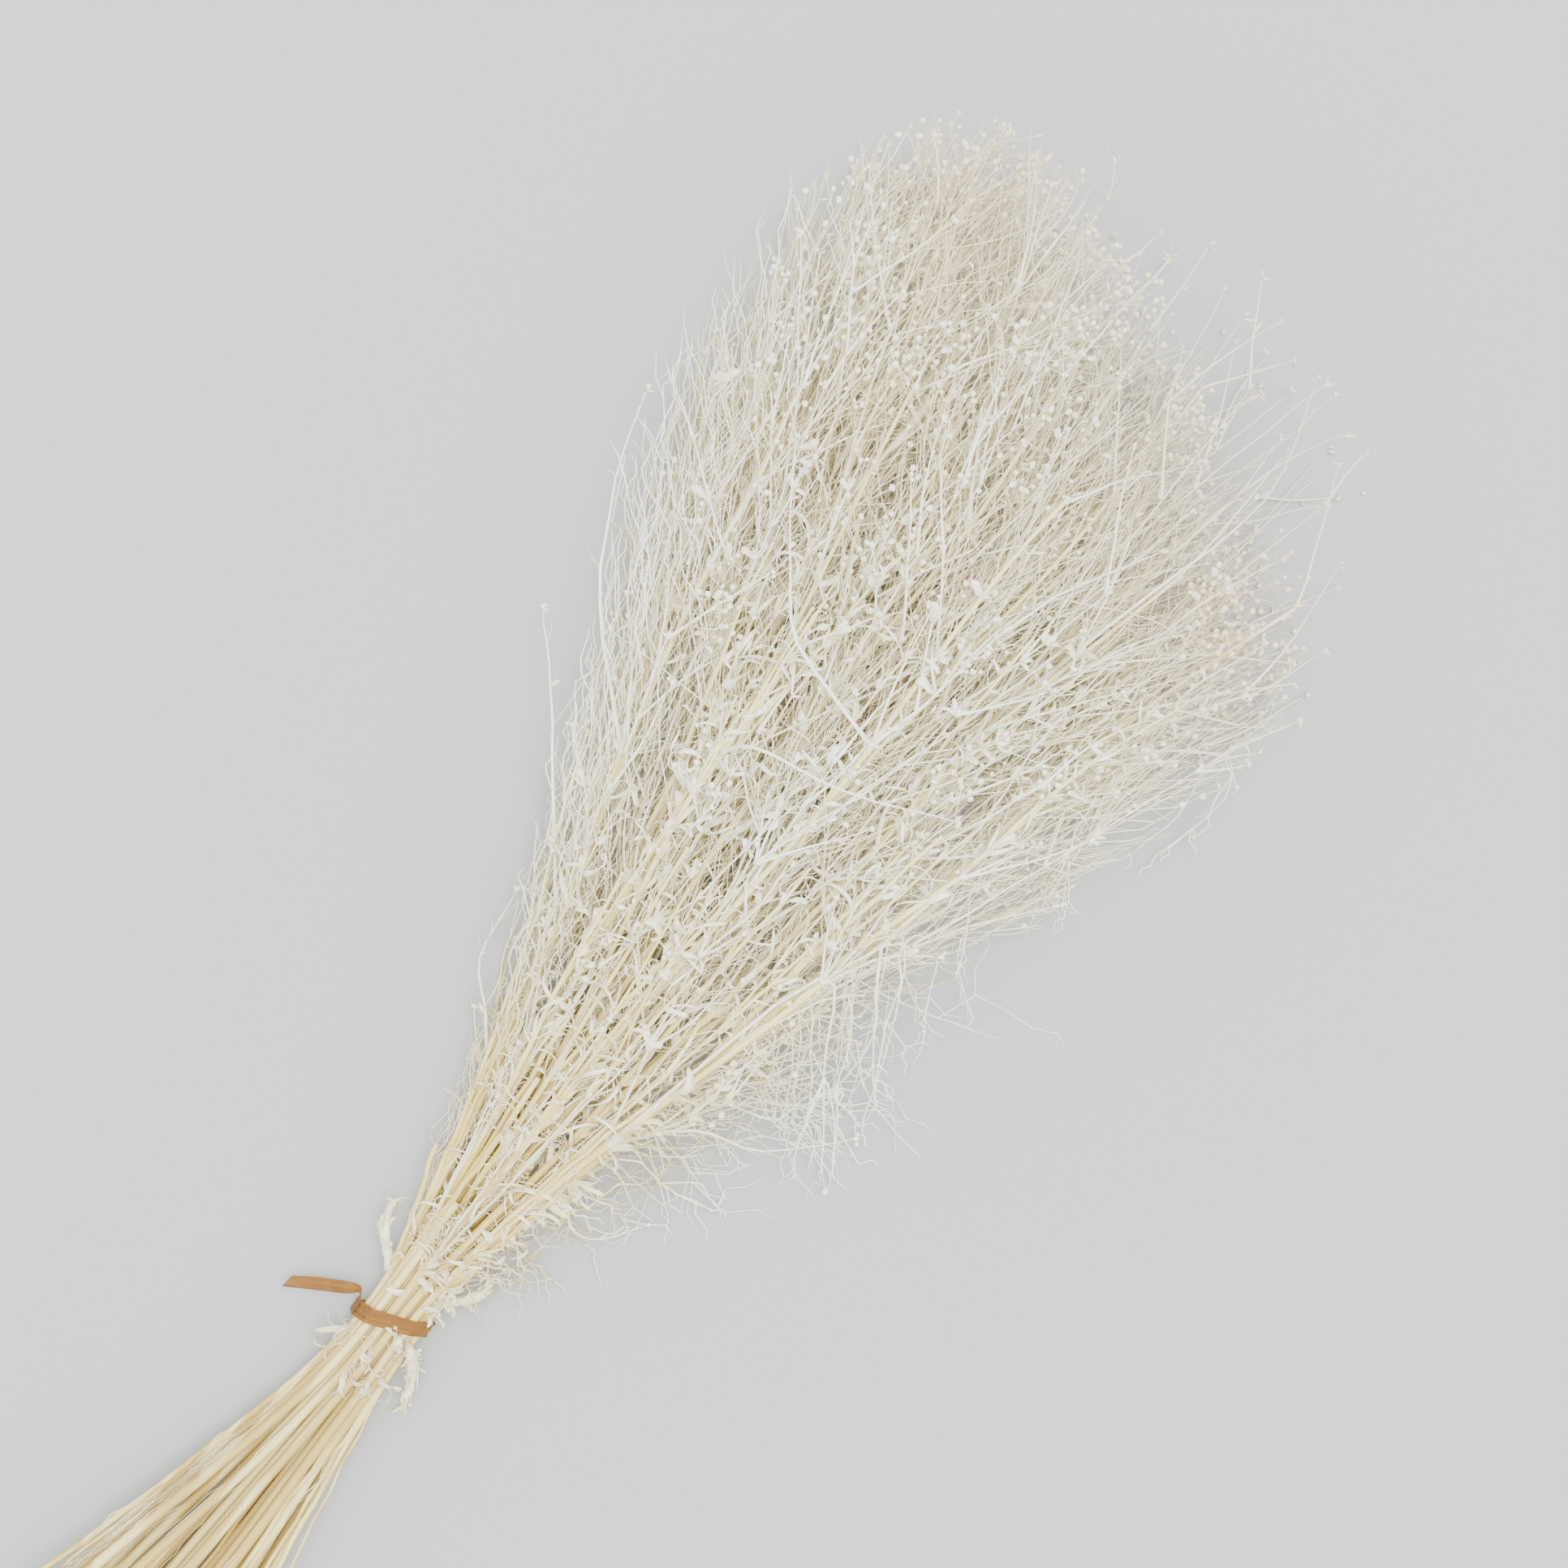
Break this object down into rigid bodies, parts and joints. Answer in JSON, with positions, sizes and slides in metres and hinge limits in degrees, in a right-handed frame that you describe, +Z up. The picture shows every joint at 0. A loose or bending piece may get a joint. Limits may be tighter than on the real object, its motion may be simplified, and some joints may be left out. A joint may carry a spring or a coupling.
{
  "type": "dried flower bunch",
  "caption": "Tied bunch of bleached, preserved baby's breath with fine twigs and small buds, cut stems and a flat paper strip round its neck, lying on its side",
  "frame": {"origin": "on the surface that the bunch lies on, under the middle of the paper tie", "axes": "+Y from the cut ends to the flower heads, +Z up from the surface, +X to the right when the heads point away from the viewer"},
  "size_m": [0.1806, 0.4742, 0.0767],
  "materials": {
    "spray_cream": "dry, matt, bleached twigs, leaves and buds",
    "stem_cream": "dry, faintly glossy bleached stems",
    "tie_paper": "matt tan paper with a fibre grain"
  },
  "bodies": {
    "root": {"bare_stem_01": "stem_cream", "spray_02": "spray_cream", "spray_03": "spray_cream", "spray_04": "spray_cream", "spray_05": "spray_cream", "spray_06": "spray_cream", "spray_07": "spray_cream", "spray_08": "spray_cream", "spray_09": "spray_cream", "spray_10": "spray_cream", "spray_11": "spray_cream", "spray_12": "spray_cream", "spray_13": "spray_cream", "spray_14": "spray_cream", "spray_15": "spray_cream", "spray_16": "spray_cream", "spray_17": "spray_cream", "spray_18": "spray_cream", "spray_19": "spray_cream", "spray_20": "spray_cream", "bare_stem_21": "stem_cream", "spray_22": "spray_cream", "bare_stem_23": "stem_cream", "spray_24": "spray_cream", "tie": "tie_paper"}
  },
  "joints": []
}
